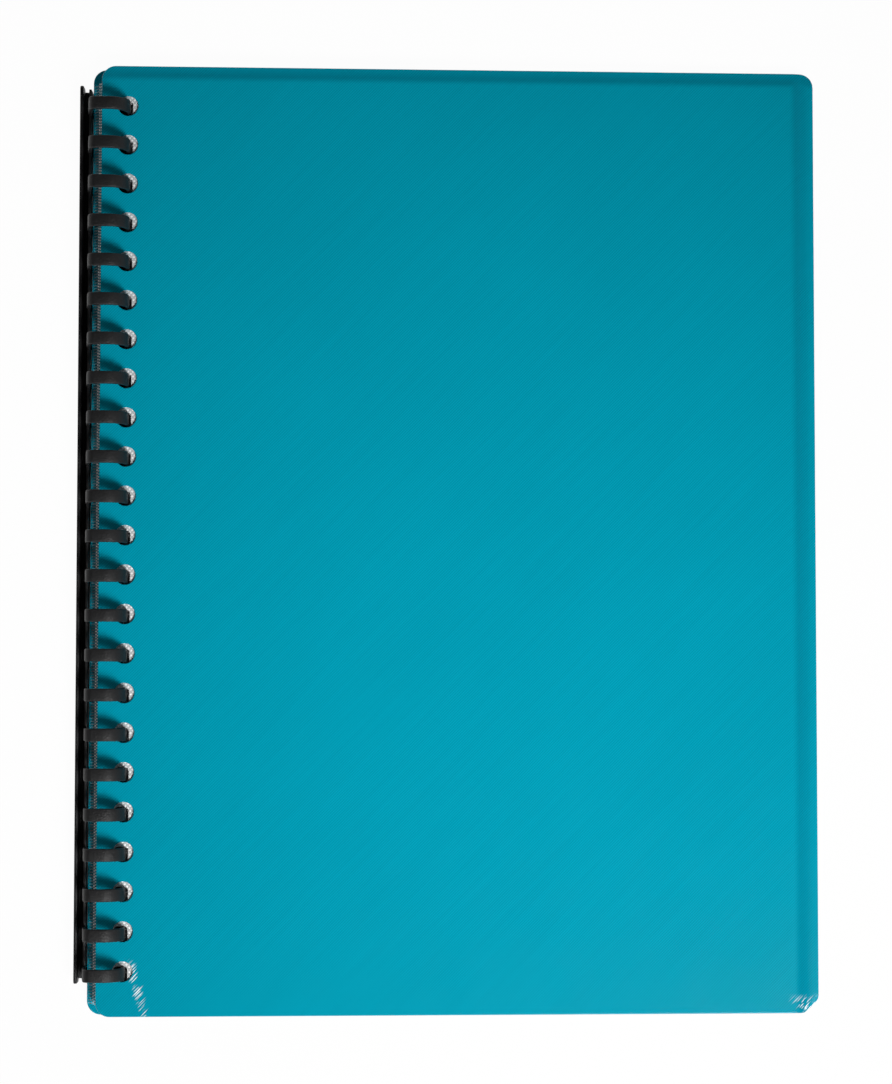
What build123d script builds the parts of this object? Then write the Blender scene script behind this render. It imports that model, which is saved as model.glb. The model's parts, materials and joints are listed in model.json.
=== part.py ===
"""Refillable display book: two sheet covers and a stack of clear pockets on a many-ringed plastic spine.

Every leaf is laid out round the swing axis, the line along the leaves' spine edges that they turn about
inside the rings, and is then set down on the table. X runs from the spine to the fore edge, Y runs up the
spine and Z is up.
"""

import math
import os

from build123d import *

# Driving dimensions, in millimetres and degrees

# Covers
COVER_WIDTH = 233.0
COVER_HEIGHT = 307.0
COVER_THICKNESS = 0.8
COVER_CORNER = 4.5

# Rings, given by how far the middle of the strap stands from the swing axis, and its bends
RING_COUNT = 23
RING_PITCH = 12.7
RING_FRONT = 9.25
RING_BACK = 3.55
RING_TOP = 7.8
RING_FOOT = 8.3
SHOULDER_BEND = 4.5
BACK_BEND = 2.0
BACK_LEAN = 7.0
HEEL_BEND = 8.3
STRAP_WIDTH = 4.1
STRAP_THICKNESS = 1.3
TIP_GAP = 0.2

# Spine rail, which carries the rings, and the channel that clips to the back of its foot
RAIL_HEIGHT = 6.0
RAIL_WALL = 0.8
RAIL_FOOT_DEPTH = 1.3
RAIL_FOOT_HEIGHT = 1.8
RAIL_PAST_TOP_RING = 6.6
RAIL_PAST_BOTTOM_RING = 2.3
CHANNEL_REACH = 2.4
CHANNEL_WALL = 1.1
CHANNEL_FLOOR = 1.2
CHANNEL_HEIGHT = 6.6
CHANNEL_OVERHANG = 1.3
TONGUE_DEPTH = 0.5
TONGUE_THICKNESS = 0.6
CHANNEL_CLEARANCE = 0.05

# Clear pockets
POCKET_COUNT = 20
POCKET_HEIGHT = 300.0
POCKET_CORNER = 3.0
POCKET_SETBACK = 8.0
POCKET_LIP = 3.0
FILM_THICKNESS = 0.06
STRIP_WIDTH = 15.0

# How the leaves sit: the covers' distance apart at the spine, and from the holes to the spine edges
COVER_SPACING = 6.6
COVER_MARGIN = 8.5
POCKET_MARGIN = 8.8

# Clearances
HOLE_CLEARANCE = 1.2
SLOT_FRONT_CLEARANCE = 1.55
SLOT_BACK_CLEARANCE = 2.2
SLOT_UPPER_CLEARANCE = 0.45
SLOT_LOWER_CLEARANCE = 1.2
HOLE_SETBACK = 0.25
STRIP_GAP = 0.1
FILM_GAP = 0.05

# Worked out from the driving dimensions
HALF_STRAP = STRAP_THICKNESS / 2
AXIS_HEIGHT = RING_FOOT + HALF_STRAP
RAIL_FACE = RAIL_WALL / 2 - RING_BACK
RAIL_BACK = RAIL_FACE - RAIL_FOOT_DEPTH
RAIL_TOP = RAIL_HEIGHT - AXIS_HEIGHT
RING_SPAN = (RING_COUNT - 1) * RING_PITCH
RAIL_LENGTH = RING_SPAN + RAIL_PAST_TOP_RING + RAIL_PAST_BOTTOM_RING
RAIL_MIDDLE = (RAIL_PAST_TOP_RING - RAIL_PAST_BOTTOM_RING) / 2
CHANNEL_LENGTH = RAIL_LENGTH + 2 * CHANNEL_OVERHANG
RING_PLACES = [i * RING_PITCH - RING_SPAN / 2 for i in range(RING_COUNT)]

FRONT_LEVEL = 0.0
REAR_LEVEL = FRONT_LEVEL - COVER_SPACING
POCKET_PITCH = (COVER_SPACING - COVER_THICKNESS - STRIP_GAP) / POCKET_COUNT
STRIP_THICKNESS = POCKET_PITCH - STRIP_GAP
SLEEVE_THICKNESS = 2 * FILM_THICKNESS


def hole_place(level):
    """How far out from the swing axis the holes of a leaf at this level are, just behind the strap's middle."""
    into_heel = max(0.0, HEEL_BEND - RING_FOOT - level)
    heel = HEEL_BEND - math.sqrt(HEEL_BEND**2 - into_heel**2)
    return RING_FRONT - heel - HOLE_SETBACK


FRONT_EDGE = hole_place(FRONT_LEVEL) - COVER_MARGIN
POCKET_WIDTH = COVER_WIDTH - POCKET_SETBACK + POCKET_MARGIN - COVER_MARGIN
POCKET_REACH = FRONT_EDGE + COVER_WIDTH - POCKET_SETBACK


def rear_tilt():
    """The lean, in radians, that brings the rear cover's fore edge down to the table."""
    out = hole_place(REAR_LEVEL) - COVER_MARGIN + COVER_WIDTH
    down = REAR_LEVEL - COVER_THICKNESS / 2
    return math.atan2(down, out) + math.asin(AXIS_HEIGHT / math.hypot(out, down))


REAR_TILT = rear_tilt()
TILT_AT_COVER = (STRIP_GAP + (STRIP_THICKNESS - SLEEVE_THICKNESS) / 2 - FILM_GAP) / POCKET_REACH
TILT_PER_POCKET = (POCKET_PITCH - SLEEVE_THICKNESS - FILM_GAP) / POCKET_REACH
FRONT_TILT = REAR_TILT + 2 * TILT_AT_COVER + (POCKET_COUNT - 1) * TILT_PER_POCKET

FORE_EDGE = FRONT_EDGE + COVER_WIDTH
FORE_EDGE_OUT = FORE_EDGE * math.cos(FRONT_TILT) + (FRONT_LEVEL + COVER_THICKNESS / 2) * math.sin(FRONT_TILT)
AXIS_X = (CHANNEL_REACH - RAIL_BACK - FORE_EDGE_OUT) / 2


def set_down(solid, tilt=0.0):
    """Leans a solid about the swing axis, fore edge down, and moves it to its place on the table."""
    return Pos(AXIS_X, 0, AXIS_HEIGHT) * Rot(0, math.degrees(tilt), 0) * solid


def bar(x_from, x_to, length, z_from, z_to):
    """A straight bar along the spine, given by the limits of its section."""
    middle = Pos((x_from + x_to) / 2, RAIL_MIDDLE, (z_from + z_to) / 2)
    return middle * Box(x_to - x_from, length, z_to - z_from)


def strap_section():
    """The side view of one ring, from its free tip over the top and round to the foot of the rail."""
    lean = math.radians(BACK_LEAN)
    tip = Vector(-RING_BACK, RAIL_TOP + TIP_GAP)
    rise = RING_TOP - BACK_BEND + BACK_BEND * math.sin(lean) - tip.Y
    back = Vector(rise * math.tan(lean) + BACK_BEND * math.cos(lean) - RING_BACK, RING_TOP - BACK_BEND)
    shoulder = Vector(RING_FRONT - SHOULDER_BEND, RING_TOP - SHOULDER_BEND)
    heel = Vector(RING_FRONT - HEEL_BEND, HEEL_BEND - RING_FOOT)
    outward = Vector(-math.cos(lean), math.sin(lean))

    def side(out):
        """The runs and bends of the strap's outside or inside, this far out from its middle."""
        Line(tip + outward * out, back + outward * (BACK_BEND + out))
        CenterArc(back, BACK_BEND + out, 180 - BACK_LEAN, BACK_LEAN - 90)
        Line((back.X, RING_TOP + out), (shoulder.X, RING_TOP + out))
        CenterArc(shoulder, SHOULDER_BEND + out, 90, -90)
        Line((RING_FRONT + out, shoulder.Y), (RING_FRONT + out, heel.Y))
        CenterArc(heel, HEEL_BEND + out, 0, -90)
        Line((heel.X, -RING_FOOT - out), (-RING_BACK, -RING_FOOT - out))

    with BuildSketch(Plane.XZ) as section:
        with BuildLine():
            side(HALF_STRAP)
            side(-HALF_STRAP)
            Line(tip + outward * HALF_STRAP, tip - outward * HALF_STRAP)
            Line((-RING_BACK, -RING_FOOT - HALF_STRAP), (-RING_BACK, -RING_FOOT + HALF_STRAP))
        make_face()
    return section.sketch


def tongue_bar(x_from, spare):
    """The channel's tongue, or with some spare room the groove for it, from x_from into the rail's foot."""
    foot = -AXIS_HEIGHT + (CHANNEL_FLOOR - TONGUE_THICKNESS) / 2
    return bar(
        x_from,
        RAIL_BACK + TONGUE_DEPTH + spare,
        RAIL_LENGTH,
        foot - spare,
        foot + TONGUE_THICKNESS + spare,
    )


def ring_rail():
    """The rail with its rings, moulded in one piece, and the groove in its back that the channel clips into."""
    wall = bar(RAIL_FACE - RAIL_WALL, RAIL_FACE, RAIL_LENGTH, -AXIS_HEIGHT, RAIL_TOP)
    foot = bar(RAIL_BACK, RAIL_FACE, RAIL_LENGTH, -AXIS_HEIGHT, RAIL_FOOT_HEIGHT - AXIS_HEIGHT)
    groove = tongue_bar(RAIL_BACK, CHANNEL_CLEARANCE)
    ring = extrude(strap_section(), amount=STRAP_WIDTH / 2, both=True)
    rings = [Pos(0, place, 0) * ring for place in RING_PLACES]
    return set_down(wall + foot - groove + rings)


def lock_channel():
    """The channel behind the rail: a tall back wall with rounded ends, a floor and a tongue for the rail's groove."""
    back = RAIL_BACK - CHANNEL_REACH
    wall = bar(back, back + CHANNEL_WALL, CHANNEL_LENGTH, -AXIS_HEIGHT, CHANNEL_HEIGHT - AXIS_HEIGHT)
    wall = fillet(wall.edges().filter_by(Axis.X).group_by(Axis.Z)[-1], CHANNEL_OVERHANG)
    floor = bar(back, RAIL_BACK - CHANNEL_CLEARANCE, RAIL_LENGTH, -AXIS_HEIGHT, CHANNEL_FLOOR - AXIS_HEIGHT)
    return set_down(wall + floor + tongue_bar(back, 0.0))


def cover(level, tilt):
    """One sheet cover with rounded corners and a round hole for each ring."""
    holes = hole_place(level)
    with BuildPart() as sheet:
        with BuildSketch(Plane.XY.offset(level)):
            with Locations((holes - COVER_MARGIN + COVER_WIDTH / 2, 0)):
                RectangleRounded(COVER_WIDTH, COVER_HEIGHT, COVER_CORNER)
            with Locations(*[(holes, place) for place in RING_PLACES]):
                Circle(STRAP_WIDTH / 2 + HOLE_CLEARANCE, mode=Mode.SUBTRACT)
        extrude(amount=COVER_THICKNESS / 2, both=True)
    return set_down(sheet.part, tilt)


def pocket(number):
    """One clear pocket: two films that lie together, the front one cut lower at the mouth, and a stiff punched strip."""
    from_rear = POCKET_COUNT - number
    level = REAR_LEVEL + COVER_THICKNESS / 2 + STRIP_GAP + STRIP_THICKNESS / 2 + from_rear * POCKET_PITCH
    tilt = REAR_TILT + TILT_AT_COVER + from_rear * TILT_PER_POCKET
    holes = hole_place(level)
    edge = holes - POCKET_MARGIN
    slot_length = STRAP_THICKNESS + SLOT_BACK_CLEARANCE + SLOT_FRONT_CLEARANCE
    slot_width = STRAP_WIDTH + SLOT_LOWER_CLEARANCE + SLOT_UPPER_CLEARANCE
    slots = holes + (SLOT_FRONT_CLEARANCE - SLOT_BACK_CLEARANCE) / 2
    slot_shift = (SLOT_UPPER_CLEARANCE - SLOT_LOWER_CLEARANCE) / 2
    with BuildPart() as sleeve:
        with BuildSketch(Plane.XY.offset(level)):
            with Locations((edge + POCKET_WIDTH / 2, 0)):
                RectangleRounded(POCKET_WIDTH, POCKET_HEIGHT, POCKET_CORNER)
        extrude(amount=-FILM_THICKNESS)
        with BuildSketch(Plane.XY.offset(level)):
            with Locations((edge + POCKET_WIDTH / 2, -POCKET_LIP / 2)):
                RectangleRounded(POCKET_WIDTH, POCKET_HEIGHT - POCKET_LIP, POCKET_CORNER)
        extrude(amount=FILM_THICKNESS)
        with BuildSketch(Plane.XY.offset(level)):
            with Locations((edge + STRIP_WIDTH / 2, 0)):
                Rectangle(STRIP_WIDTH, POCKET_HEIGHT - 2 * POCKET_LIP)
        extrude(amount=STRIP_THICKNESS / 2, both=True)
        with BuildSketch(Plane.XY.offset(level)):
            with Locations(*[(slots, place + slot_shift) for place in RING_PLACES]):
                Rectangle(slot_length, slot_width)
        extrude(amount=STRIP_THICKNESS, both=True, mode=Mode.SUBTRACT)
    return set_down(sleeve.part, tilt)


def build():
    """Every node of the book, by name."""
    nodes = {
        "ring_rail": ring_rail(),
        "lock_channel": lock_channel(),
        "rear_cover": cover(REAR_LEVEL, REAR_TILT),
        "front_cover": cover(FRONT_LEVEL, FRONT_TILT),
    }
    for number in range(1, POCKET_COUNT + 1):
        nodes[f"pocket_{number:02d}"] = pocket(number)
    return nodes


os.makedirs("parts", exist_ok=True)
for name, solid in build().items():
    export_step(solid, f"parts/{name}.step")
print(f"swing axis x {AXIS_X:.3f} z {AXIS_HEIGHT:.3f} mm, strip {STRIP_THICKNESS:.3f} mm")
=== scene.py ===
"""Looks of the display book: embossed sheet covers, clear pockets and a black spine of many rings.

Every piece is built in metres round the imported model, and each leaf lies where its solid lies.
"""

import json
import math

import bmesh
import bpy
from mathutils import Euler, Matrix, Vector
from mathutils.geometry import delaunay_2d_cdt


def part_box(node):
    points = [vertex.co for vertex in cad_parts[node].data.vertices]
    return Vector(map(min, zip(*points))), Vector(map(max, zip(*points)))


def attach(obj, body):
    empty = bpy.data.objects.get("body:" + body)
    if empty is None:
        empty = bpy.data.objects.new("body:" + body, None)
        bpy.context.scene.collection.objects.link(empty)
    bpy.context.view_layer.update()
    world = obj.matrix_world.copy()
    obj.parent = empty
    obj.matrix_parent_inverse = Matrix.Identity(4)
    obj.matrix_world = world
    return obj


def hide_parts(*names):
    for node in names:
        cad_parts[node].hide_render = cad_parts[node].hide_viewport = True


bl_info = {
    "name": "Display Book",
    "version": (1, 0, 0),
    "blender": (4, 5, 0),
    "location": "View3D > Sidebar > Display Book",
    "description": "Builds the covers, clear pockets and ringed spine of a display book",
    "category": "Add Mesh",
}

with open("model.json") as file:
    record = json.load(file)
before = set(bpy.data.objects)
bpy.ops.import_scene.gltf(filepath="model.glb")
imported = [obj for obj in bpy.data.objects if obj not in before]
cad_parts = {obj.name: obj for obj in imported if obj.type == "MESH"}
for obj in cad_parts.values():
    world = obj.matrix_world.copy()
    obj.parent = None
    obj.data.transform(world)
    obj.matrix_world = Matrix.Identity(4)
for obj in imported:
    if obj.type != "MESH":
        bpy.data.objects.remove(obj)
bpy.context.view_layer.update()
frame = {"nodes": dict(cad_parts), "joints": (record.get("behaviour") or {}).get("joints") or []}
MM = 0.001
SWING_AXIS = Vector(next(j for j in frame["joints"] if j["name"] == "front_cover_turn")["pos_m"])
POCKET_NODES = sorted(n for n in frame["nodes"] if n.startswith("pocket_"))

# Where a cover is divided so that it can bend, from its edges inwards
EDGE_DIVISIONS = [x * MM for x in (1.3, 2.2)]
BEND_DIVISIONS = [x * MM for x in (2.9, 3.6, 4.3, 5.0, 5.7, 6.4, 7.1, 7.7, 8.3, 9.2, 10.5)]
HOLE_BAND = 14 * MM
HOLE_BAND_STEP = 2.4 * MM
SHEET_STEP = 6 * MM
SPINE_STEP = 6.35 * MM

# How much room the divisions leave to a cover's edges and holes
EDGE_ROOM = 1.0 * MM
HOLE_ROOM = 1.2 * MM

# Width of the flat border inside a cover's rounded rims
RIM_BORDER = 0.15 * MM

# Angles past which an edge is drawn sharp
SHEET_SHARP = math.radians(35)
MOULDED_SHARP = math.radians(40)
FILM_SHARP = math.radians(30)

# The painted shade past a fold, from the fold on: where it starts, where it is full and where it begins to
# fade
SHADE_START = -1.0 * MM
SHADE_FULL = 1.6 * MM
SHADE_FADE = 1.8 * MM

# How far past the top edge the painted shade there would be gone
SHADE_PAST_TOP = 4 * MM

# Painted highlights along a crease: the width of their streaks, how far down they grow to full strength,
# and the middle share of their reach where they are strongest
CREASE_STREAK = 0.42 * MM
CREASE_GROWTH = 4 * MM
CREASE_MIDDLE = 0.2

# Slant of the emboss and the knurl, in degrees
SLANT = 45

# The wave texture runs through 20 radians in one unit at a scale of 1
WAVE_TURN = 2 * math.pi / 20

# How much streaks are drawn out along their lines
STREAK_DRAW = 0.035

# The long side of the camera's picture, in millimetres, as Blender takes it
SENSOR = 36.0


# Settings


def length(label, words, value):
    """A length setting, given in millimetres and kept in metres."""
    return bpy.props.FloatProperty(
        name=label, description=words, default=value * MM, min=0.0, precision=5, unit="LENGTH"
    )


def colour(label, words, value):
    """A colour setting, in linear light."""
    return bpy.props.FloatVectorProperty(
        name=label, description=words, default=value, min=0.0, max=1.0, size=4, subtype="COLOR"
    )


def share(label, words, value):
    """A setting from 0 to 1."""
    return bpy.props.FloatProperty(
        name=label, description=words, default=value, min=0.0, max=1.0, subtype="FACTOR"
    )


def amount(label, words, value, least=0.0, unit="NONE"):
    """A setting that has a lower end only."""
    return bpy.props.FloatProperty(name=label, description=words, default=value, min=least, unit=unit)


def number(label, words, value, least=1):
    """A setting that counts."""
    return bpy.props.IntProperty(name=label, description=words, default=value, min=least)


def angle(label, words, value):
    """An angle setting, given in degrees and kept in radians."""
    turn = math.radians(value)
    return bpy.props.FloatProperty(name=label, description=words, default=turn, unit="ROTATION")


def point(label, words, value):
    """The setting of a place in the scene, in metres."""
    return bpy.props.FloatVectorProperty(
        name=label, description=words, default=value, subtype="TRANSLATION", unit="LENGTH"
    )


class BookCoverSettings(bpy.types.PropertyGroup):
    """Sizes and colours of the two sheet covers"""

    colour: colour("Sheet colour", "Colour of the plastic sheet", (0.0005, 0.318, 0.44, 1.0))
    # Painted shade: the sheet is tinted darker just past its folds, where the pockets don't back it
    fold_shade_tint: colour("Fold tint", "Tint of the sheet just past its folds", (0.7, 0.76, 0.78, 1.0))
    # Painted highlights: the colour of the white streaks at the creases
    crease_highlight_colour: colour("Crease colour", "Colour of the whitened creases", (0.85, 0.97, 0.98, 1.0))
    corner: length("Corner radius", "Radius of the covers' corners", 4.5)
    rim: length("Rim rounding", "Rounding of the sheet's cut edges", 0.25)
    hole_radius: length("Hole radius", "Radius of the ring holes", 3.25)
    hole_rise: length("Hole rise", "How far up the covers' holes lie on the rings", 0.6)
    margin: length("Spine margin", "From the covers' holes to their spine edges", 8.5)
    fore_fold: length("Fore fold", "From the fore edge to where the front cover bends down", 7.3)
    fore_drop: length("Fore drop", "How far the front cover bends down past the pockets' fore edges", 0.9)
    fore_run: length("Fore run", "Width of the bend at the pockets' fore edges", 4.2)
    top_fold: length("Top fold", "From the top edge to where the front cover bends down", 4.5)
    top_drop: length("Top drop", "How far the front cover bends down past the pockets' mouths", 0.45)
    top_run: length("Top run", "Width of the bend at the pockets' mouths", 2.8)
    corner_fold: length("Corner fold", "From the lower fore corner to where it is bent down", 4.4)
    corner_bend: length("Corner bend", "Bend of the lower fore corner", 1.5)
    emboss_pitch: length("Emboss pitch", "Distance between the slanted lines of the emboss", 0.65)
    emboss_depth: length("Emboss depth", "Height of the slanted lines of the emboss", 0.011)
    crease_height: length("Crease height", "From the bottom edge up to where the spine crease starts", 19.0)
    crease_start: length("Crease start", "From the spine edge to the upper end of the spine crease", 10.5)
    crease_end: length("Crease end", "From the spine edge to the lower end of the spine crease", 15.5)
    crease_reach: length("Crease reach", "How far the spine crease's streaks reach to each side", 2.6)
    fore_crease: length("Fore crease", "From the edges to the inner end of the fore corner's crease", 6.5)
    fore_crease_reach: length("Fore crease reach", "How far its streaks reach to each side", 5.0)


class BookSpineSettings(bpy.types.PropertyGroup):
    """Sizes and colour of the ringed rail and its channel"""

    colour: colour("Spine colour", "Colour of the moulded spine", (0.0085, 0.0085, 0.009, 1.0))
    ring_count: number("Rings", "Number of rings", 23)
    ring_pitch: length("Ring pitch", "Distance between neighbouring rings", 12.7)
    strap_width: length("Strap width", "Width of a ring's strap along the spine", 4.1)
    strap_thickness: length("Strap thickness", "Thickness of a ring's strap", 1.3)
    strap_rounding: length("Strap rounding", "Rounding of the strap's long edges", 0.42)
    reach_front: length("Ring front", "From the swing axis to the strap's front run", 9.25)
    reach_back: length("Ring back", "From the swing axis to the strap's free tip", 3.55)
    reach_top: length("Ring top", "From the swing axis up to the strap's top run", 7.8)
    reach_foot: length("Ring foot", "From the swing axis down to the strap's foot", 8.3)
    shoulder_bend: length("Shoulder bend", "Bend of the strap at its upper front", 6.5)
    back_bend: length("Back bend", "Bend of the strap at its upper back", 2.0)
    heel_bend: length("Heel bend", "Bend of the strap at its lower front", 8.3)
    back_lean: angle("Back lean", "Lean of the strap's back run", 7.0)
    tip_gap: length("Tip gap", "Gap between a ring's free tip and the rail", 0.2)
    tip_taper: length("Tip taper", "How far a strap is drawn in at its free tip", 0.2)
    tip_run: length("Tip run", "Height over which a strap is drawn in at its free tip", 0.25)
    rail_height: length("Rail height", "Height of the rail", 6.0)
    rail_wall: length("Rail wall", "Thickness of the rail above its foot", 0.8)
    rail_foot: length("Rail foot", "Height of the rail's thicker foot", 1.8)
    rail_rounding: length("Rail rounding", "Rounding of the rail's edges", 0.11)
    groove_height: length("Groove height", "Height of the rail's groove for the channel's tongue", 0.7)
    groove_foot: length("Groove foot", "From the table up to the rail's groove", 0.25)
    groove_depth: length("Groove depth", "Depth of the rail's groove", 0.55)
    channel_wall: length("Channel wall", "Thickness of the channel's back wall", 1.1)
    channel_rounding: length("Channel rounding", "Rounding of the back wall's edges", 0.28)
    channel_floor: length("Channel floor", "Thickness of the channel's floor", 1.2)
    channel_overhang: length("Channel overhang", "How far the back wall outruns the floor at each end", 1.3)
    floor_joint: length("Floor joint", "How far the channel's floor runs into its back wall", 0.4)
    floor_rounding: length("Floor rounding", "Rounding of the edges of the channel's floor", 0.1)
    tongue_height: length("Tongue height", "Height of the channel's tongue", 0.6)
    tongue_gap: length("Tongue gap", "Gap between the channel's floor and the rail", 0.05)


class BookPocketSettings(bpy.types.PropertyGroup):
    """Sizes and colours of the clear pockets"""

    film_colour: colour("Film colour", "Colour of the clear film", (0.80, 0.86, 0.87, 1.0))
    strip_colour: colour("Strip colour", "Colour of the strip and the welds", (0.93, 0.96, 0.96, 1.0))
    press_colour: colour("Press colour", "Colour of the weaker presses", (0.12, 0.42, 0.45, 1.0))
    film_opacity: share("Film opacity", "How much the film hides", 0.16)
    weld_opacity: share("Weld opacity", "How much the welds hide", 0.5)
    plain_opacity: share("Plain edge opacity", "How much the strip's plain edge hides", 0.004)
    faint_opacity: share("Faint press opacity", "How much most pockets' presses hide", 0.06)
    press_opacity: share("Press opacity", "How much the whiter presses hide", 0.9)
    strip_width: length("Strip width", "Width of the punched strip", 15.0)
    strip_corner: length("Strip corner", "Radius of the knurled strip's corners", 0.6)
    strip_knurl: length("Strip knurl", "Distance between the lines of the strip's knurl", 1.1)
    bead: length("Bead", "Width of the strip's pressed spine edge", 0.4)
    press_pitch: length("Press pitch", "Distance between the presses along the spine edge", 0.95)
    press_patch: length("Press patch", "Length of the stretches of weaker or whiter presses", 1.4)
    # Painted light: the pressed edge glows, though it is no lamp
    painted_edge_glow: amount("Edge glow", "Painted glow at the pressed edge", 0.12)
    first_pressed: number("First pressed pocket", "The first pocket that has whiter presses", 3)
    pressed_each: number("Pressed pockets", "Count from one pocket with whiter presses to the next", 9)
    plain: length("Plain edge", "From the strip's spine edge to where its knurl starts", 3.6)
    margin: length("Strip margin", "From the middle of the holes to the strip's spine edge", 8.8)
    strip_lip: length("Strip lip", "How much lower the strip ends than the mouth", 1.5)
    slot_front: length("Slot front", "From the middle of a hole to the slot's front end", 1.6)
    slot_back: length("Slot back", "From the middle of a hole to the slot's back end", 2.85)
    slot_upper: length("Slot upper side", "From the middle of a hole to the slot's upper side", 2.25)
    slot_lower: length("Slot lower side", "From the middle of a hole to the slot's lower side", 3.25)
    slot_corner: length("Slot corner", "Radius of a slot's corners", 1.2)
    weld: length("Weld width", "Width of the welds round the sleeve", 2.4)
    weld_thickness: length("Weld thickness", "Thickness of the two films where they are welded", 0.11)
    weld_knurl: length("Weld knurl", "Distance between the lines of the welds' knurl", 0.9)
    strip_lap: length("Strip lap", "How far the sleeve laps over the strip", 0.3)
    strip_weld: length("Strip weld", "Width of the weld beside the strip", 1.2)
    film_apart: share("Film distance", "Distance between the two films as a share of the welds", 0.8)
    mouth_lip: length("Mouth lip", "How much lower the front film ends at the mouth", 3.0)
    corner: length("Sleeve corner", "Radius of the sleeve's outer corners", 3.0)


class BookStageSettings(bpy.types.PropertyGroup):
    """Camera and light"""

    camera_place: point("Camera place", "Where the camera stands", (-0.0269, -0.0455, 0.8579))
    camera_turn: bpy.props.FloatVectorProperty(
        name="Camera turn",
        description="How the camera is turned",
        default=tuple(math.radians(a) for a in (2.971, -1.758, 0.034)),
        subtype="EULER",
        unit="ROTATION",
    )
    camera_lens: amount("Camera lens", "Focal length for a 36 mm long side", 87.33, least=1.0)
    near_limit: length("Near limit", "Nearest distance that the camera sees", 10.0)
    film_layers: number("Film layers", "How many layers of clear film light passes through", 64, least=8)
    key_power: amount("Key light", "Power of the soft lamp below right", 0.94, unit="POWER")
    key_place: point("Key place", "Where the soft lamp hangs", (0.31, -0.54, 0.78))
    key_aim: point("Key aim", "Where the soft lamp looks", (0.01, -0.055, 0.0))
    key_size: length("Key size", "Side of the soft lamp", 360.0)
    key_fan: angle("Key fan", "Angle over which the soft lamp fans out", 48.0)
    room_level: amount("Room light", "Level of the room's light near the horizon", 0.72)
    overhead_share: share("Overhead share", "Level of the room's light overhead, as a share of that", 0.03)
    floor_reach: length("Floor reach", "From the middle of the floor to its sides", 3000.0)
    floor_gap: length("Floor gap", "Gap between the floor and the book", 0.05)
    floor_colour: colour("Floor colour", "Colour of the floor", (0.9, 0.9, 0.9, 1.0))
    shadow_reach: length("Shadow reach", "How far the dark of a narrow gap reaches over the floor", 10.0)


# Outlines


def circle(x, y, radius, steps):
    """Points round a circle."""
    turns = [2 * math.pi * i / steps for i in range(steps)]
    return [(x + radius * math.cos(t), y + radius * math.sin(t)) for t in turns]


def bend_run(centre, radius, start, sweep, steps):
    """Points along an arc, in degrees."""
    turns = [math.radians(start + sweep * i / steps) for i in range(steps + 1)]
    return [(centre[0] + radius * math.cos(t), centre[1] + radius * math.sin(t)) for t in turns]


def rounded_box(x0, x1, y0, y1, radius, arc_steps, xs=(), ys=()):
    """Points round a rectangle with rounded corners, its sides divided at the given places."""
    corners = [(x1 - radius, y1 - radius, 0), (x0 + radius, y1 - radius, 90)]
    corners += [(x0 + radius, y0 + radius, 180), (x1 - radius, y0 + radius, 270)]
    across = sorted(x for x in xs if x0 + radius < x < x1 - radius)
    along = sorted(y for y in ys if y0 + radius < y < y1 - radius)
    sides = [[(x, y1) for x in reversed(across)], [(x0, y) for y in reversed(along)]]
    sides += [[(x, y0) for x in across], [(x1, y) for y in along]]
    points = []
    for (cx, cy, start), side in zip(corners, sides):
        points += bend_run((cx, cy), radius, start, 90, arc_steps) + side
    return points


def stepped(start, stop, step):
    """Places from start to stop at about this step, both ends left out."""
    parts = max(1, round((stop - start) / step))
    return [start + (stop - start) * i / parts for i in range(1, parts)]


def ease(t):
    """A smooth step from 0 to 1."""
    t = min(1.0, max(0.0, t))
    return t * t * (3 - 2 * t)


# Meshes


def leaf_plane(node):
    """A leaf's own frame, and its width, height and thickness.

    X runs from its spine edge to its fore edge, Y up the spine and Z off the sheet.
    """
    mesh = frame["nodes"][node].data
    top = max((p for p in mesh.polygons if p.normal.z > 0.5), key=lambda p: p.area)
    off = top.normal.normalized()
    out = Vector((off.z, 0.0, -off.x))
    across = [v.co.dot(out) for v in mesh.vertices]
    depth = [v.co.dot(off) for v in mesh.vertices]
    along = [v.co.y for v in mesh.vertices]
    plane = Matrix((out, Vector((0, 1, 0)), off)).transposed().to_4x4()
    plane.translation = out * min(across) + off * (min(depth) + max(depth)) / 2
    return plane, max(across) - min(across), max(along) - min(along), max(depth) - min(depth)


def sheet_mesh(name, verts, faces):
    """A mesh with outward normals, smooth except at its corners."""
    mesh = bpy.data.meshes.new(name)
    mesh.from_pydata(verts, [], faces)
    work = bmesh.new()
    work.from_mesh(mesh)
    bmesh.ops.recalc_face_normals(work, faces=work.faces)
    work.to_mesh(mesh)
    work.free()
    mesh.shade_smooth()
    mesh.set_sharp_from_angle(angle=SHEET_SHARP)
    mesh.validate()
    return mesh


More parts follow.
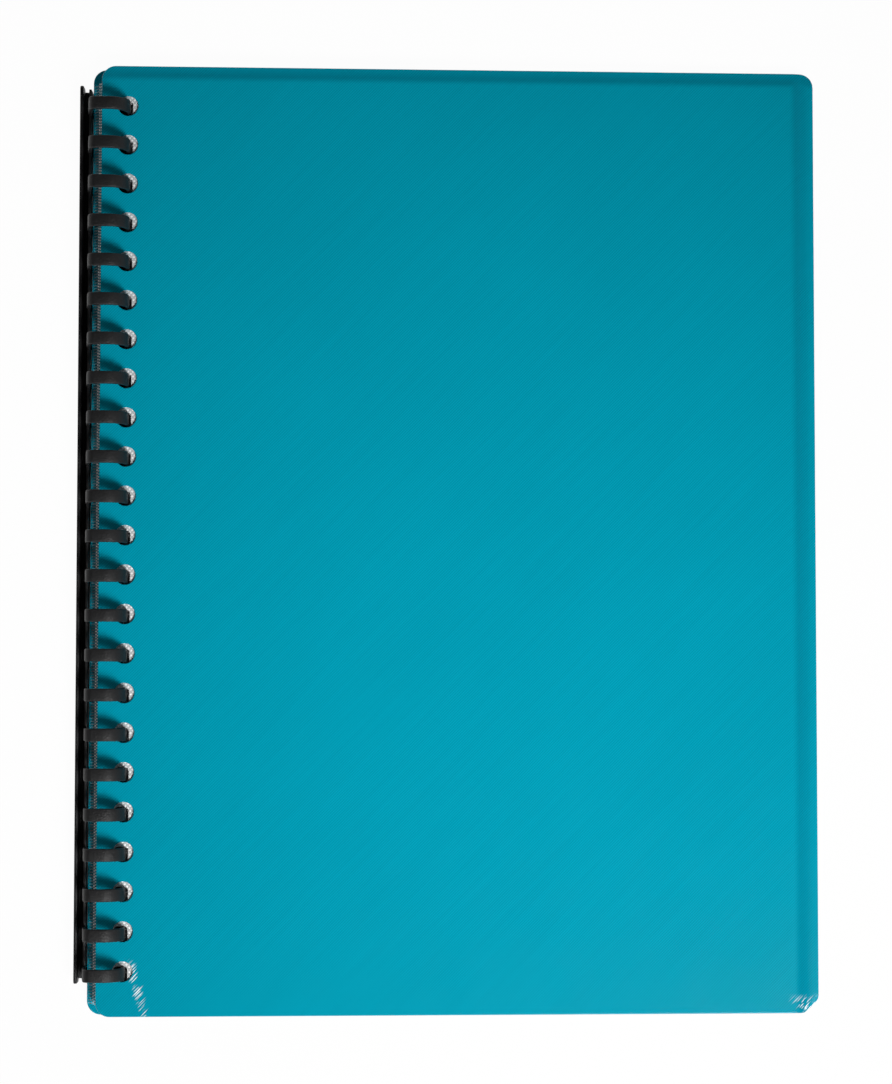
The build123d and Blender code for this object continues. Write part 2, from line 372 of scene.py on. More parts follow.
def punched_sheet(loops, profile, extra=()):
    """Vertices and faces of a sheet between an outline and its holes.

    Each loop gives its points for an inset from the cut edge; the profile lists insets and heights from
    the top face round the rim to the bottom face. Extra points divide the sheet so that it can bend.
    """
    verts, faces, tops, bottoms = [], [], [], []
    for loop in loops:
        rows = []
        for inset, height in profile:
            points = loop(inset)
            rows.append([len(verts) + i for i in range(len(points))])
            verts += [(x, y, height) for x, y in points]
        for upper, lower in zip(rows, rows[1:]):
            for i in range(len(upper)):
                j = (i + 1) % len(upper)
                faces.append((upper[i], lower[i], lower[j], upper[j]))
        tops.append(rows[0])
        bottoms.append(rows[-1])
    flat = [Vector(verts[i][:2]) for row in tops for i in row]
    edges, first = [], 0
    for row in tops:
        edges += [(first + i, first + (i + 1) % len(row)) for i in range(len(row))]
        first += len(row)
    upper_ids = [i for row in tops for i in row]
    lower_ids = [i for row in bottoms for i in row]
    for x, y in extra:
        flat.append(Vector((x, y)))
        upper_ids.append(len(verts))
        lower_ids.append(len(verts) + 1)
        verts += [(x, y, profile[0][1]), (x, y, profile[-1][1])]
    tolerance = 1e-8
    _, _, triangles, origins, _, _ = delaunay_2d_cdt(flat, edges, [], 0, tolerance)
    ring_of = [k for k, row in enumerate(tops) for _ in row] + [None] * len(extra)
    for triangle in triangles:
        source = [origins[i][0] for i in triangle]
        rings = {ring_of[i] for i in source}
        # A triangle whose corners all lie on one hole's rim fills that hole
        if len(rings) == 1 and rings != {None} and rings != {0}:
            continue
        faces.append(tuple(upper_ids[i] for i in source))
        faces.append(tuple(lower_ids[i] for i in reversed(source)))
    return verts, faces


def drawn_out(outline, shift):
    """A solid drawn out from a flat outline by a shift."""
    work = bmesh.new()
    face = work.faces.new([work.verts.new(corner) for corner in outline])
    grown = bmesh.ops.extrude_face_region(work, geom=[face])
    moved = [g for g in grown["geom"] if isinstance(g, bmesh.types.BMVert)]
    bmesh.ops.translate(work, verts=moved, vec=shift)
    bmesh.ops.recalc_face_normals(work, faces=work.faces)
    return work


def round_edges(work, edges, rounding):
    """Rounds edges of a solid."""
    bmesh.ops.bevel(
        work, geom=edges, offset=rounding, segments=3, profile=0.5, affect="EDGES", clamp_overlap=True
    )


def spine_bar(section, y0, y1, rounding):
    """A bar along the spine from its side view, with rounded edges."""
    work = drawn_out([(x, y0, z) for x, z in section], (0, y1 - y0, 0))
    round_edges(work, list(work.edges), rounding)
    return work


def place(name, mesh, materials, body, nodes, matrix=None):
    """Puts a mesh in the scene as a piece that rides on a body and stands for its solids."""
    for material in materials:
        if material.name not in mesh.materials:
            mesh.materials.append(material)
    piece = bpy.data.objects.new(name, mesh)
    bpy.context.scene.collection.objects.link(piece)
    if matrix is not None:
        piece.matrix_world = matrix
    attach(piece, body)
    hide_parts(*nodes)


# Materials


class Graph:
    """A node tree, with short ways to add its nodes and join them."""

    def __init__(self, tree):
        self.tree = tree
        tree.nodes.clear()

    def feed(self, socket, value):
        """Joins another node's output to a socket, or sets the socket itself."""
        if isinstance(value, bpy.types.NodeSocket):
            self.tree.links.new(value, socket)
        else:
            socket.default_value = value

    def add(self, kind, inputs=None, **values):
        """Adds a node with its own settings, and feeds its inputs by name or number."""
        node = self.tree.nodes.new(kind)
        for key, value in values.items():
            setattr(node, key, value)
        for key, value in (inputs or {}).items():
            self.feed(node.inputs[key], value)
        return node

    def calc(self, operation, *values):
        """A value worked out from outputs and plain numbers."""
        return self.add("ShaderNodeMath", dict(enumerate(values)), operation=operation).outputs[0]

    def weighted(self, *parts):
        """The sum of values, each times its weight."""
        total = 0.0
        for value, weight in parts:
            total = self.calc("MULTIPLY_ADD", value, weight, total)
        return total

    def chained(self, operation, *values):
        """Values taken together one after the other."""
        total = values[0]
        for value in values[1:]:
            total = self.calc(operation, total, value)
        return total

    def ramp(self, value, low, high, first=0.0, last=1.0, kind="SMOOTHSTEP"):
        """A step of a value between two places, from a first level to a last one."""
        ends = {"From Min": low, "From Max": high, "To Min": first, "To Max": last}
        node = self.add("ShaderNodeMapRange", {"Value": value} | ends, interpolation_type=kind)
        return node.outputs["Result"]

    def fall(self, value, low, high):
        """A step of a value from 1 down to 0 between two places."""
        return self.ramp(value, low, high, 1.0, 0.0)

    def spread(self, value, first, last):
        """A value from 0 to 1 spread evenly over a range."""
        return self.ramp(value, 0.0, 1.0, first, last, "LINEAR")

    def mixed(self, factor, first, second, blend="MIX"):
        """Two colours mixed by a factor."""
        # The colour sockets go by number, since sockets of other kinds share their names
        inputs = {0: factor, 6: first, 7: second}
        node = self.add("ShaderNodeMix", inputs, data_type="RGBA", blend_type=blend)
        return node.outputs[2]


class Finish(Graph):
    """A new material: its shader, and patterns that lie on the piece."""

    def __init__(self, name):
        self.material = bpy.data.materials.new(name)
        self.material.use_nodes = True
        super().__init__(self.material.node_tree)
        self.shader = self.add("ShaderNodeBsdfPrincipled")
        self.add("ShaderNodeOutputMaterial", {"Surface": self.shader.outputs["BSDF"]})
        self.spot = self.add("ShaderNodeTexCoord").outputs["Object"]

    def surface(self, inputs):
        """Feeds the shader's inputs by name."""
        for key, value in inputs.items():
            self.feed(self.shader.inputs[key], value)

    def bump(self, height, strength, depth):
        """Raises the surface by a height from 0 to 1."""
        node = self.add("ShaderNodeBump", {"Height": height, "Strength": strength, "Distance": depth})
        self.surface({"Normal": node.outputs["Normal"]})

    def see_through(self, opacity):
        """Lets the piece be seen through."""
        self.surface({"Alpha": opacity})
        self.material.surface_render_method = "BLENDED"

    def turned(self, degrees):
        """Places on the piece, turned in its plane."""
        turn = (0.0, 0.0, math.radians(degrees))
        return self.add("ShaderNodeMapping", {"Vector": self.spot, "Rotation": turn}).outputs["Vector"]

    def lines(self, pitch, degrees):
        """The height of a set of straight lines at an angle, from 0 to 1."""
        inputs = {"Vector": self.turned(degrees), "Scale": WAVE_TURN / pitch}
        return self.add("ShaderNodeTexWave", inputs).outputs["Fac"]

    def noise(self, size, detail=3.0, spot=None):
        """A soft noise whose patches are about this size."""
        spot = self.spot if spot is None else spot
        inputs = {"Vector": spot, "Scale": 1.0 / size, "Detail": detail}
        return self.add("ShaderNodeTexNoise", inputs).outputs["Fac"]

    def streaks(self, size, degrees):
        """A noise drawn out along lines at an angle."""
        inputs = {0: self.turned(degrees), 1: (1.0, STREAK_DRAW, 1.0)}
        drawn = self.add("ShaderNodeVectorMath", inputs, operation="MULTIPLY")
        return self.noise(size, 1.0, drawn.outputs["Vector"])


def shade(rgba, level):
    """A colour made lighter or darker."""
    return tuple(min(1.0, c * level) for c in rgba[:3]) + (1.0,)


def past_fold(finish, where, fold, stop):
    """A painted shade that sets in at once past a fold and fades towards the rim."""
    onset = finish.ramp(where, fold + SHADE_START, fold + SHADE_FULL)
    fade = finish.fall(where, fold + SHADE_FADE, stop)
    return finish.chained("MULTIPLY", onset, fade)


def crease_highlights(finish, lines, up, first, last, reach):
    """Painted highlights: short white streaks along the emboss, beside a crease between two points and
    below the first.
    """
    run = Vector(last) - Vector(first)
    off = Vector((run.y, -run.x, 0.0)).normalized()
    beside = finish.add("ShaderNodeVectorMath", {0: finish.spot, 1: off}, operation="DOT_PRODUCT")
    shifted = finish.calc("SUBTRACT", beside.outputs["Value"], off.dot(Vector((*first, 0.0))))
    near = finish.fall(finish.calc("ABSOLUTE", shifted), CREASE_MIDDLE * reach, reach)
    below = finish.fall(up, first[1] - CREASE_GROWTH, first[1])
    streaks = finish.streaks(CREASE_STREAK, SLANT)
    drawn = finish.weighted((streaks, 1.0), (near, 0.12), (lines, 0.14))
    broken = finish.ramp(drawn, 0.74, 0.81)
    return finish.chained("MULTIPLY", near, below, broken)


def painted_fold_light(settings, finish, lines, sheet, width, height):
    """The colour of a sheet that is folded down: painted shade past its folds, painted highlights at its
    creases.
    """
    axes = finish.add("ShaderNodeSeparateXYZ", {0: finish.spot}).outputs
    half = height / 2
    # Painted shade past the fore and top folds, multiplied into the sheet's colour
    fore = past_fold(finish, axes["X"], width - settings.fore_fold, width)
    top = past_fold(finish, axes["Y"], half - settings.top_fold, half + SHADE_PAST_TOP)
    sheet = finish.mixed(finish.calc("MAXIMUM", fore, top), sheet, settings.fold_shade_tint, "MULTIPLY")
    # Painted highlights: white streaks along the emboss beside the rings and at the lower fore corner
    upper_end = (settings.crease_start, settings.crease_height - half)
    lower_end = (settings.crease_end, -half)
    beside_rings = crease_highlights(finish, lines, axes["Y"], upper_end, lower_end, settings.crease_reach)
    inner_end = (width - settings.fore_crease, settings.fore_crease - half)
    tip = (width, -half)
    at_corner = crease_highlights(finish, lines, axes["Y"], inner_end, tip, settings.fore_crease_reach)
    return finish.mixed(finish.calc("MAXIMUM", beside_rings, at_corner), sheet, settings.crease_highlight_colour)


def embossed_sheet(settings, name, width, height, folded):
    """Glossy sheet with a fine slanted emboss, and with painted shade past its folds and painted highlights
    at its creases where it has any.
    """
    finish = Finish(name)
    lines = finish.lines(settings.emboss_pitch, SLANT)
    crossing = finish.lines(settings.emboss_pitch, -SLANT)
    patches = finish.noise(size=60 * MM)
    drawn = finish.streaks(0.9 * MM, SLANT)
    tone = finish.weighted((lines, 0.58), (crossing, 0.14), (patches, 0.18), (drawn, 0.16))
    dark, light = shade(settings.colour, 0.72), shade(settings.colour, 1.3)
    sheet = finish.mixed(finish.spread(tone, -0.02, 0.92), dark, light)
    if folded:
        sheet = painted_fold_light(settings, finish, lines, sheet, width, height)
    worn = finish.spread(finish.noise(size=10 * MM), 0.13, 0.2)
    finish.surface({"Base Color": sheet, "Roughness": worn, "Specular IOR Level": 0.12})
    relief = finish.weighted((lines, 1.0), (crossing, 0.22))
    finish.bump(relief, strength=1.0, depth=settings.emboss_depth)
    return finish.material


def moulded_plastic(settings):
    """Black moulded plastic, satin, with a very fine grain."""
    finish = Finish("moulded_plastic")
    grain = finish.noise(size=0.6 * MM, detail=4.0)
    patches = finish.noise(size=20 * MM)
    tone = finish.weighted((patches, 0.4), (grain, 0.6))
    black = finish.mixed(tone, shade(settings.colour, 0.3), shade(settings.colour, 1.7))
    satin = finish.spread(grain, 0.38, 0.6)
    finish.surface({"Base Color": black, "Roughness": satin, "Specular IOR Level": 0.35})
    finish.bump(grain, strength=0.9, depth=0.14 * MM)
    return finish.material


def clear_film(settings, name, opacity):
    """Thin clear film, glossy and slightly uneven."""
    finish = Finish(name)
    ripples = finish.noise(size=35 * MM, detail=2.0)
    film = finish.mixed(ripples, shade(settings.film_colour, 0.92), shade(settings.film_colour, 1.06))
    finish.surface({"Base Color": film, "Roughness": 0.09})
    finish.bump(ripples, strength=0.5, depth=0.6 * MM)
    finish.see_through(opacity)
    return finish.material


def knurled_film(settings, name, pitch, opacity):
    """Whitish film pressed with a fine diamond knurl, as at the welds and the punched strip."""
    finish = Finish(name)
    rising, falling = finish.lines(pitch, SLANT), finish.lines(pitch, -SLANT)
    knurl = finish.calc("MULTIPLY", rising, falling)
    dots = finish.ramp(knurl, 0.1, 0.5)
    white = finish.mixed(dots, shade(settings.strip_colour, 0.62), shade(settings.strip_colour, 1.2))
    finish.surface({"Base Color": white, "Roughness": 0.25})
    finish.bump(knurl, strength=0.8, depth=0.12 * MM)
    if opacity < 1.0:
        finish.see_through(opacity)
    return finish.material


def dotted_film(settings, name, shift, opacity):
    """Clear film with a row of small whitish presses along the spine, given a painted glow, moved along by
    a shift.
    """
    finish = Finish(name)
    uneven = finish.ramp(finish.noise(settings.press_patch), 0.42, 0.6)
    white = finish.mixed(uneven, settings.press_colour, shade(settings.strip_colour, 1.2))
    finish.surface({"Base Color": white, "Roughness": 0.25})
    # Painted glow: the presses give off light of their own where the lamp's light doesn't reach them
    finish.surface({"Emission Color": settings.strip_colour, "Emission Strength": settings.painted_edge_glow})

    # The rows alone are moved along
    moved = finish.add("ShaderNodeVectorMath", {0: finish.spot, 1: (0.0, shift, 0.0)}, operation="ADD")
    finish.spot = moved.outputs["Vector"]
    rows = finish.lines(settings.press_pitch, 90)
    finish.see_through(finish.ramp(rows, 0.6, 0.85, 0.0, opacity))
    return finish.material


# Pieces


def ring_places(spine):
    """Where the rings stand along the spine."""
    half = (spine.ring_count - 1) / 2
    return [(i - half) * spine.ring_pitch for i in range(spine.ring_count)]


def sheet_divisions(width, height):
    """The places across and along a cover where it is divided, closest near its edges."""
    close = EDGE_DIVISIONS + BEND_DIVISIONS
    inner = BEND_DIVISIONS[-1]
    half = height / 2
    xs = EDGE_DIVISIONS + stepped(EDGE_DIVISIONS[-1], HOLE_BAND, HOLE_BAND_STEP) + [HOLE_BAND]
    xs += stepped(HOLE_BAND, width - inner, SHEET_STEP) + [width - x for x in close]
    ys = [half - y for y in close] + [y - half for y in close]
    ys += stepped(inner - half, half - inner, SPINE_STEP)
    return sorted(xs), sorted(ys)


def build_cover(name, node, body, bend):
    """One embossed cover with rounded rims and a round hole for each ring."""
    cover = bpy.context.scene.book_cover
    plane, width, height, thickness = leaf_plane(node)
    half, half_h = thickness / 2, height / 2
    rim, margin = cover.rim, cover.margin
    places = ring_places(bpy.context.scene.book_spine)
    xs, ys = sheet_divisions(width, height)

    def outline(inset):
        corner = cover.corner - inset
        x0, x1, y0, y1 = inset, width - inset, inset - half_h, half_h - inset
        return rounded_box(x0, x1, y0, y1, corner, arc_steps=8, xs=xs, ys=ys)

    def hole(y):
        return lambda inset: circle(margin, y + cover.hole_rise, cover.hole_radius + inset, steps=28)

    def clear(x, y):
        inside = EDGE_ROOM < x < width - EDGE_ROOM and abs(y) < half_h - EDGE_ROOM
        corner = Vector((min(x, width - x) - cover.corner, half_h - abs(y) - cover.corner))
        if corner.x < 0 and corner.y < 0 and corner.length > cover.corner - EDGE_ROOM:
            return False
        off = min(math.hypot(x - margin, y - p - cover.hole_rise) for p in places)
        return inside and off > cover.hole_radius + HOLE_ROOM

    turns = [math.radians(a) for a in (90, 45, 0)]
    upper = [(rim * (1 - math.cos(t)), half - rim * (1 - math.sin(t))) for t in turns]
    upper = [(rim + RIM_BORDER, half)] + upper
    profile = upper + [(inset, -z) for inset, z in reversed(upper)]
    extra = [(x, y) for x in xs for y in ys if clear(x, y)]
    verts, faces = punched_sheet([outline] + [hole(y) for y in places], profile, extra)
    verts = [bend(x, y, z, width, height) for x, y, z in verts]
    material = embossed_sheet(cover, name + "_plastic", width, height, bend is front_bend)
    place(name, sheet_mesh(name, verts, faces), [material], body, [node], plane)


def lie_flat(x, y, z, width, height):
    """A point of a cover that lies flat."""
    return x, y, z


def front_bend(x, y, z, width, height):
    """A point of the front cover, bent down past the pockets and at its lower fore corner."""
    cover = bpy.context.scene.book_cover
    fore = ease((x - width + cover.fore_fold) / cover.fore_run)
    top = ease((y - height / 2 + cover.top_fold) / cover.top_run)
    z -= cover.fore_drop * fore + cover.top_drop * top * (1 - fore)
    past = cover.corner_fold - ((width - x) + (y + height / 2)) * math.sqrt(0.5)
    if past > 0:
        turn = past / cover.corner_bend
        back = (past - cover.corner_bend * math.sin(turn)) * math.sqrt(0.5)
        x, y, z = x - back, y + back, z - cover.corner_bend * (1 - math.cos(turn))
    return x, y, z


def strap_path(spine):
    """The middle line of one ring in side view, from its free tip over the top to the rail's foot."""
    lean, bend = spine.back_lean, spine.back_bend
    tip = spine.rail_height + spine.tip_gap - SWING_AXIS.z
    rise = spine.reach_top - bend + bend * math.sin(lean) - tip
    back = (rise * math.tan(lean) + bend * math.cos(lean) - spine.reach_back, spine.reach_top - bend)
    shoulder = (spine.reach_front - spine.shoulder_bend, spine.reach_top - spine.shoulder_bend)
    heel = (spine.reach_front - spine.heel_bend, spine.heel_bend - spine.reach_foot)
    path = [(-spine.reach_back, tip)]
    path += [(-spine.reach_back + spine.tip_run * math.tan(lean), tip + spine.tip_run)]
    path += bend_run(back, bend, 180 - math.degrees(lean), math.degrees(lean) - 90, steps=7)
    path += bend_run(shoulder, spine.shoulder_bend, 90, -90, steps=12)
    path += bend_run(heel, spine.heel_bend, 0, -90, steps=16)
    return path + [(-spine.reach_back, -spine.reach_foot)]


def strap_section(spine, inset):
    """The rounded section of a strap, drawn in by an inset."""
    half_w, half_t = spine.strap_width / 2 - inset, spine.strap_thickness / 2 - inset
    return rounded_box(-half_w, half_w, -half_t, half_t, spine.strap_rounding - inset, arc_steps=4)


def strap_rows(spine):
    """The section of the strap at each point of its path, drawn in at the free tip."""
    path = [Vector(p) for p in strap_path(spine)]
    rows = []
    for i, middle in enumerate(path):
        ahead = path[min(i + 1, len(path) - 1)] - path[max(i - 1, 0)]
        side = Vector((ahead.y, -ahead.x)).normalized()
        section = strap_section(spine, spine.tip_taper if i == 0 else 0.0)
        rows.append([(middle.x - side.x * t, w, middle.y - side.y * t) for w, t in section])
    return rows


def place_moulding(name, work, body, node):
    """Puts a moulded piece of the spine in the scene."""
    mesh = bpy.data.meshes.new(name)
    work.to_mesh(mesh)
    work.free()
    mesh.shade_smooth()
    mesh.set_sharp_from_angle(angle=MOULDED_SHARP)
    material = bpy.data.materials.get("moulded_plastic") or moulded_plastic(bpy.context.scene.book_spine)
    place(name, mesh, [material], body, [node])


def build_ring_rail():
    """The rail with its rings, in one piece."""
    spine = bpy.context.scene.book_spine
    low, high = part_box("ring_rail")
    x, z = SWING_AXIS.x, SWING_AXIS.z
    back, face = low.x - x, spine.rail_wall / 2 - spine.reach_back
    foot, top = -z, spine.rail_height - z
    step = foot + spine.rail_foot
    groove = foot + spine.groove_foot
    groove_top = groove + spine.groove_height
    groove_in = back + spine.groove_depth
    section = [(back, foot), (face, foot), (face, top), (face - spine.rail_wall, top)]
    section += [(face - spine.rail_wall, step), (back, step)]
    section += [(back, groove_top), (groove_in, groove_top), (groove_in, groove), (back, groove)]
    work = spine_bar(section, low.y, high.y, spine.rail_rounding)
    rows = strap_rows(spine)
    for y in ring_places(spine):
        made = [[work.verts.new((px, py + y, pz)) for px, py, pz in row] for row in rows]
        for near, far in zip(made, made[1:]):
            for i in range(len(near)):
                j = (i + 1) % len(near)
                work.faces.new((near[i], near[j], far[j], far[i]))
        work.faces.new(made[0])
        work.faces.new(list(reversed(made[-1])))
    bmesh.ops.recalc_face_normals(work, faces=work.faces)
    bmesh.ops.translate(work, verts=work.verts, vec=(x, 0, z))
    place_moulding("ring_rail_moulding", work, "base", "ring_rail")


def build_lock_channel():
    """The channel behind the rail: a back wall with rounded ends, a floor and a tongue."""
    spine = bpy.context.scene.book_spine
    low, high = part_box("lock_channel")
    rail_low, rail_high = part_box("ring_rail")

    # Back wall
    wall = rounded_box(low.y, high.y, low.z, high.z, spine.channel_overhang, arc_steps=6)
    work = drawn_out([(low.x, y, max(low.z, z)) for y, z in wall], (spine.channel_wall, 0, 0))
    rim_angle = 1.0
    rims = [e for e in work.edges if e.is_manifold and e.calc_face_angle() > rim_angle]
    round_edges(work, rims, spine.channel_rounding)

    # Floor and tongue
    start = low.x + spine.channel_wall - spine.floor_joint
    stop = rail_low.x - spine.tongue_gap
    tongue = (spine.channel_floor - spine.tongue_height) / 2
    tongue_top = tongue + spine.tongue_height
    section = [(start, 0), (stop, 0), (stop, tongue), (high.x, tongue), (high.x, tongue_top)]
    section += [(stop, tongue_top), (stop, spine.channel_floor), (start, spine.channel_floor)]
    section = [(x, z + low.z) for x, z in section]
    floor = spine_bar(section, rail_low.y, rail_high.y, spine.floor_rounding)
    part = bpy.data.meshes.new("channel_floor")
    floor.to_mesh(part)
    floor.free()
    work.from_mesh(part)
    bpy.data.meshes.remove(part)
    place_moulding("lock_channel_moulding", work, "lock_channel", "lock_channel")


# The order of a pocket's materials
STRIP, WELD, FILM, PRESSES, PLAIN = range(5)


def pocket_mesh(width, height, thickness):
    """One clear pocket in its own frame: a punched strip, two films open at the top and their welds."""
    pocket = bpy.context.scene.book_pocket
    strip_half, half_h = thickness / 2, height / 2
    strip_top = half_h - pocket.strip_lip

    # Punched strip, with square edges, so that its outlines need no inset
    def strip_outline(inset):
        x0, x1, corner = pocket.plain, pocket.strip_width, pocket.strip_corner
        return rounded_box(x0, x1, -half_h, strip_top, corner, arc_steps=3)

    def slot(y):
        x0, x1 = pocket.margin - pocket.slot_back, pocket.margin + pocket.slot_front
        y0, y1 = y - pocket.slot_lower, y + pocket.slot_upper
        return lambda inset: rounded_box(x0, x1, y0, y1, pocket.slot_corner, arc_steps=4)

    loops = [strip_outline] + [slot(y) for y in ring_places(bpy.context.scene.book_spine)]
    verts, faces = punched_sheet(loops, [(0.0, strip_half), (0.0, -strip_half)])
    kinds = [STRIP] * len(faces)

    # Pressed spine edge, and the plain film between it and the knurl
    for start, stop, kind in ((0.0, pocket.bead, PRESSES), (pocket.bead, pocket.plain, PLAIN)):
        first = len(verts)
        corners = [(start, -half_h), (stop, -half_h), (stop, strip_top), (start, strip_top)]
        verts += [(x, y, strip_half) for x, y in corners] + [(x, y, -strip_half) for x, y in corners]
        faces += [(first, first + 1, first + 2, first + 3), (first + 7, first + 6, first + 5, first + 4)]
        kinds += [kind, kind]

    # Welds, a frame open at the mouth
    spine_x = pocket.strip_width - pocket.strip_lap
    inner0, inner1 = pocket.strip_width + pocket.strip_weld, width - pocket.weld
    inner_y = pocket.weld - half_h
    r = pocket.corner
    border = [(spine_x, half_h), (spine_x, -half_h)]
    border += bend_run((width - r, r - half_h), r, 270, 90, steps=6)
    border += [(width, half_h), (inner1, half_h), (inner1, inner_y), (inner0, inner_y), (inner0, half_h)]
    weld_half = pocket.weld_thickness / 2
    first, count = len(verts), len(border)
    verts += [(x, y, weld_half) for x, y in border] + [(x, y, -weld_half) for x, y in border]
    faces.append(tuple(first + i for i in range(count)))
    faces.append(tuple(first + count + i for i in reversed(range(count))))
    for i in range(count):
        here, following = first + i, first + (i + 1) % count
        faces.append((here, here + count, following + count, following))
    kinds += [WELD] * (count + 2)

    # Rear film up to the mouth, and the front film that ends lower
    film_half = weld_half * pocket.film_apart
    for level, top in ((-film_half, half_h), (film_half, half_h - pocket.mouth_lip)):
        first = len(verts)
        corners = [(inner0, inner_y), (inner1, inner_y), (inner1, top), (inner0, top)]
        verts += [(x, y, level) for x, y in corners]
        faces.append((first, first + 1, first + 2, first + 3))
        kinds.append(FILM)

    mesh = bpy.data.meshes.new("clear_pocket")
    mesh.from_pydata(verts, [], faces)
    mesh.validate()
    for polygon, kind in zip(mesh.polygons, kinds):
        polygon.material_index = kind
    mesh.set_sharp_from_angle(angle=FILM_SHARP)
    return mesh


def build_pockets():
    """The clear pockets; those with like presses share one mesh."""
    pocket = bpy.context.scene.book_pocket
    strip = knurled_film(pocket, "frosted_strip", pocket.strip_knurl, 1.0)
    weld = knurled_film(pocket, "welded_film", pocket.weld_knurl, pocket.weld_opacity)
    film = clear_film(pocket, "clear_film", pocket.film_opacity)
    plain = clear_film(pocket, "plain_strip", pocket.plain_opacity)
    faint = dotted_film(pocket, "faint_presses", 0.0, pocket.faint_opacity)
    even = dotted_film(pocket, "even_presses", 0.0, pocket.press_opacity)
    odd = dotted_film(pocket, "odd_presses", pocket.press_pitch / 2, pocket.press_opacity)
    whiter = POCKET_NODES[pocket.first_pressed - 1 :: pocket.pressed_each]
    pressed = dict(zip(whiter, (even, odd)))
    meshes = {}
    for node in POCKET_NODES:
        plane, *size = leaf_plane(node)
        presses = pressed.get(node, faint)
        if presses.name not in meshes:
            meshes[presses.name] = pocket_mesh(*size)
        materials = [strip, weld, film, presses, plain]
        place(node + "_sleeve", meshes[presses.name], materials, node, [node], plane)


# Stage


def area_lamp(name, spot, aim, size, power, fan):
    """A soft square lamp that looks at a point and fans out over an angle."""
    data = bpy.data.lights.new(name, "AREA")
    data.energy = power
    data.size = size
    data.spread = fan
    lamp = bpy.data.objects.new(name, data)
    lamp.location = spot
    lamp.rotation_euler = (Vector(aim) - Vector(spot)).to_track_quat("-Z", "Y").to_euler()
    bpy.context.scene.collection.objects.link(lamp)


def white_floor(stage):
    """A plain white floor that keeps a soft shadow."""
    mesh = bpy.data.meshes.new("studio_floor")
    reach = stage.floor_reach
    corners = [(-reach, -reach, 0), (reach, -reach, 0), (reach, reach, 0), (-reach, reach, 0)]
    mesh.from_pydata(corners, [], [(0, 1, 2, 3)])
    floor = bpy.data.objects.new("studio_floor", mesh)
    bpy.context.scene.collection.objects.link(floor)
    floor.location.z = -stage.floor_gap
    material = bpy.data.materials.new("studio_paper")
    material.use_nodes = True
    mesh.materials.append(material)
    graph = Graph(material.node_tree)
    paper = graph.add("ShaderNodeBsdfDiffuse", {"Color": stage.floor_colour})
    white = graph.add("ShaderNodeEmission")
    gaps = graph.add("ShaderNodeAmbientOcclusion", {"Distance": stage.shadow_reach})
    dark_end, clear_end, whiteness = 0.08, 0.35, 0.97
    clear = graph.ramp(gaps.outputs["AO"], dark_end, clear_end, 0.0, whiteness, "LINEAR")

    # White where the camera sees the floor itself, in a reflection or through film
    path = graph.add("ShaderNodeLightPath").outputs
    rays = [path[ray] for ray in ("Is Camera Ray", "Is Glossy Ray", "Is Transmission Ray")]
    shown = graph.calc("MULTIPLY", graph.chained("MAXIMUM", *rays), clear)
    blend = graph.add("ShaderNodeMixShader", {0: shown, 1: paper.outputs[0], 2: white.outputs[0]})
    graph.add("ShaderNodeOutputMaterial", {"Surface": blend.outputs[0]})


def room_light(stage):
    """Even light of the room, weaker overhead, and white where the camera sees it."""
    world = bpy.data.worlds.new("studio_room")
    bpy.context.scene.world = world
    world.use_nodes = True
    graph = Graph(world.node_tree)
    way = graph.add("ShaderNodeTexCoord").outputs["Generated"]
    rise = graph.add("ShaderNodeSeparateXYZ", {0: way}).outputs["Z"]
    overhead = stage.room_level * stage.overhead_share
    horizon, high_up = 0.0, 0.9
    strength = graph.ramp(rise, horizon, high_up, stage.room_level, overhead)
    dim = graph.add("ShaderNodeBackground", {"Strength": strength})
    white = graph.add("ShaderNodeBackground")
    seen = graph.add("ShaderNodeLightPath").outputs["Is Camera Ray"]
    blend = graph.add("ShaderNodeMixShader", {0: seen, 1: dim.outputs[0], 2: white.outputs[0]})
    graph.add("ShaderNodeOutputWorld", {"Surface": blend.outputs[0]})


def camera_view(stage):
    """The camera at the photograph's viewing angle."""
    lens = bpy.data.cameras.new("camera")
    lens.lens = stage.camera_lens
    lens.sensor_width = SENSOR
    lens.clip_start = stage.near_limit
    camera = bpy.data.objects.new("camera", lens)
    camera.location = stage.camera_place
    camera.rotation_euler = Euler(stage.camera_turn, "XYZ")
    bpy.context.scene.collection.objects.link(camera)
    bpy.context.scene.camera = camera


# Operators


class BOOK_OT_stage(bpy.types.Operator):
    """Sets the floor, the light and the camera"""

    bl_idname = "book.stage"
    bl_label = "Stage"

    def execute(self, context):
        stage = context.scene.book_stage
        white_floor(stage)
        room_light(stage)
        area_lamp(
            "key_lamp", stage.key_place, stage.key_aim, stage.key_size, stage.key_power, stage.key_fan
        )
        camera_view(stage)
        context.scene.view_settings.view_transform = "Standard"
        context.scene.cycles.transparent_max_bounces = stage.film_layers
        return {"FINISHED"}


class BOOK_OT_rear_cover(bpy.types.Operator):
    """Builds the rear cover"""

    bl_idname = "book.rear_cover"
    bl_label = "Rear cover"

    def execute(self, context):
        build_cover("rear_cover_sheet", "rear_cover", "base", lie_flat)
        return {"FINISHED"}


class BOOK_OT_pockets(bpy.types.Operator):
    """Builds the clear pockets"""

    bl_idname = "book.pockets"
    bl_label = "Clear pockets"

    def execute(self, context):
        build_pockets()
        return {"FINISHED"}


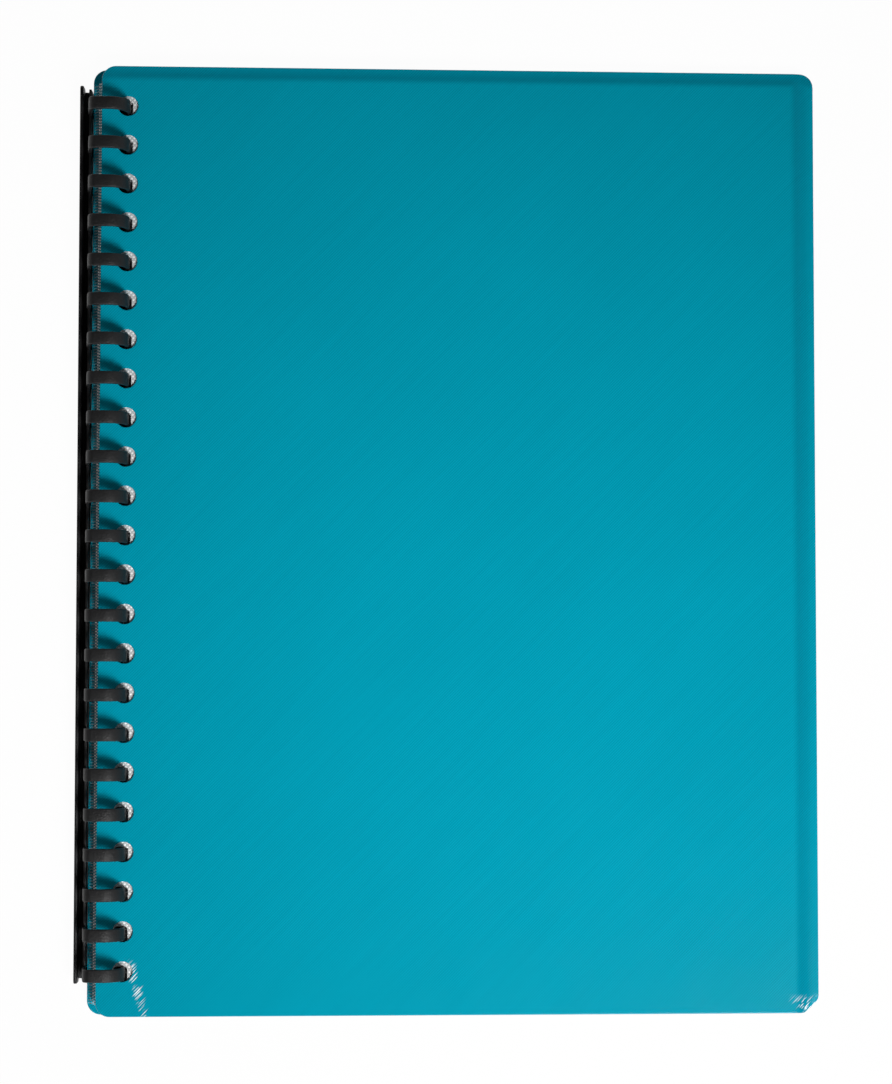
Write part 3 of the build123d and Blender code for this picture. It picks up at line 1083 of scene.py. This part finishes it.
class BOOK_OT_front_cover(bpy.types.Operator):
    """Builds the front cover, bent down past the pockets"""

    bl_idname = "book.front_cover"
    bl_label = "Front cover"

    def execute(self, context):
        build_cover("front_cover_sheet", "front_cover", "front_cover", front_bend)
        return {"FINISHED"}


class BOOK_OT_ring_rail(bpy.types.Operator):
    """Builds the rail and its rings"""

    bl_idname = "book.ring_rail"
    bl_label = "Ring rail"

    def execute(self, context):
        build_ring_rail()
        return {"FINISHED"}


class BOOK_OT_lock_channel(bpy.types.Operator):
    """Builds the channel that clips to the back of the rail"""

    bl_idname = "book.lock_channel"
    bl_label = "Lock channel"

    def execute(self, context):
        build_lock_channel()
        return {"FINISHED"}


class BOOK_PT_panel(bpy.types.Panel):
    """Lists the display book's pieces"""

    bl_label = "Display Book"
    bl_idname = "BOOK_PT_panel"
    bl_space_type = "VIEW_3D"
    bl_region_type = "UI"
    bl_category = "Display Book"

    def draw(self, context):
        for operator in OPERATORS:
            self.layout.operator(operator.bl_idname)


OPERATORS = (
    BOOK_OT_stage,
    BOOK_OT_rear_cover,
    BOOK_OT_pockets,
    BOOK_OT_front_cover,
    BOOK_OT_ring_rail,
    BOOK_OT_lock_channel,
)
SETTINGS = {
    "book_cover": BookCoverSettings,
    "book_spine": BookSpineSettings,
    "book_pocket": BookPocketSettings,
    "book_stage": BookStageSettings,
}


def register():
    """Registers the settings, the operators and the panel."""
    for name, group in SETTINGS.items():
        bpy.utils.register_class(group)
        setattr(bpy.types.Scene, name, bpy.props.PointerProperty(type=group))
    for operator in OPERATORS:
        bpy.utils.register_class(operator)
    bpy.utils.register_class(BOOK_PT_panel)


def unregister():
    """Takes them out again."""
    bpy.utils.unregister_class(BOOK_PT_panel)
    for operator in reversed(OPERATORS):
        bpy.utils.unregister_class(operator)
    for name, group in SETTINGS.items():
        delattr(bpy.types.Scene, name)
        bpy.utils.unregister_class(group)


def main():
    """Builds the whole book."""
    register()
    bpy.ops.book.stage()
    bpy.ops.book.rear_cover()
    bpy.ops.book.pockets()
    bpy.ops.book.front_cover()
    bpy.ops.book.ring_rail()
    bpy.ops.book.lock_channel()
    bpy.context.view_layer.update()


if __name__ == "__main__":
    main()
